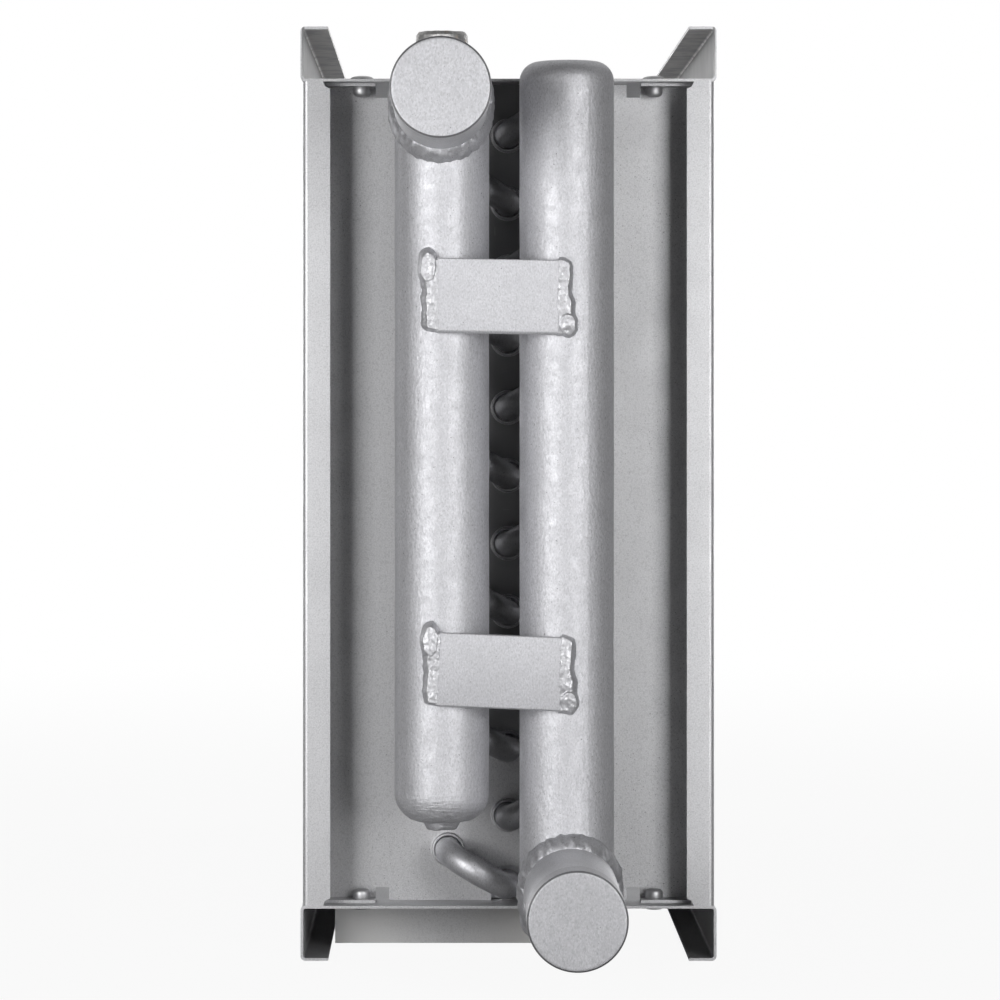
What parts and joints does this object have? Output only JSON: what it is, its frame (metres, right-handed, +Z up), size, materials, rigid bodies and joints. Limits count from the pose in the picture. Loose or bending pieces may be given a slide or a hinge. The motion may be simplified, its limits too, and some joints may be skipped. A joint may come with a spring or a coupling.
{
  "type": "duct water heating coil",
  "caption": "Flanged sheet-metal duct coil: finned tubes joined by return bends to two upright pipe headers with capped connections and welded straps.",
  "frame": {"origin": "on the surface the coil stands on, under the middle of its overall box", "axes": "+Z up, +Y along the tubes from the headers to the far side, +X along the air stream"},
  "size_m": [0.1514, 0.664, 0.34],
  "materials": {
    "galvanised_sheet": "galvanised",
    "fins": "mill",
    "tubes": "drawn copper",
    "silver_paint": "silver paint",
    "caps": "silver paint",
    "rivets": "plain",
    "vent": "turned"
  },
  "bodies": {
    "root": {"bottom_panel": "galvanised_sheet", "far_side_plate": "galvanised_sheet", "far_side_rivets": "rivets", "fin_pack": "fins", "hairpin_01": "tubes", "hairpin_02": "tubes", "hairpin_03": "tubes", "hairpin_04": "tubes", "hairpin_05": "tubes", "hairpin_06": "tubes", "hairpin_07": "tubes", "hairpin_08": "tubes", "hairpin_09": "tubes", "hairpin_10": "tubes", "hairpin_11": "tubes", "hairpin_12": "tubes", "hairpin_13": "tubes", "hairpin_14": "tubes", "hairpin_15": "tubes", "hairpin_16": "tubes", "hairpin_17": "tubes", "hairpin_18": "tubes", "header_side_plate": "galvanised_sheet", "header_side_rivets": "rivets", "left_cap": "caps", "left_feeder_1": "silver_paint", "left_feeder_2": "silver_paint", "left_feeder_3": "silver_paint", "left_feeder_4": "silver_paint", "left_feeder_5": "silver_paint", "left_feeder_6": "silver_paint", "left_header": "silver_paint", "left_stub": "silver_paint", "lower_strap": "silver_paint", "return_bend_01": "silver_paint", "return_bend_02": "silver_paint", "return_bend_03": "silver_paint", "return_bend_04": "silver_paint", "return_bend_05": "silver_paint", "return_bend_06": "silver_paint", "return_bend_07": "silver_paint", "return_bend_08": "silver_paint", "return_bend_09": "silver_paint", "return_bend_10": "silver_paint", "return_bend_11": "silver_paint", "return_bend_12": "silver_paint", "right_cap": "caps", "right_feeder_1": "silver_paint", "right_feeder_2": "silver_paint", "right_feeder_3": "silver_paint", "right_feeder_4": "silver_paint", "right_feeder_5": "silver_paint", "right_feeder_6": "silver_paint", "right_header": "silver_paint", "right_stub": "silver_paint", "support_angle": "galvanised_sheet", "top_panel": "galvanised_sheet", "upper_strap": "silver_paint", "vent_boss": "vent"}
  },
  "joints": []
}
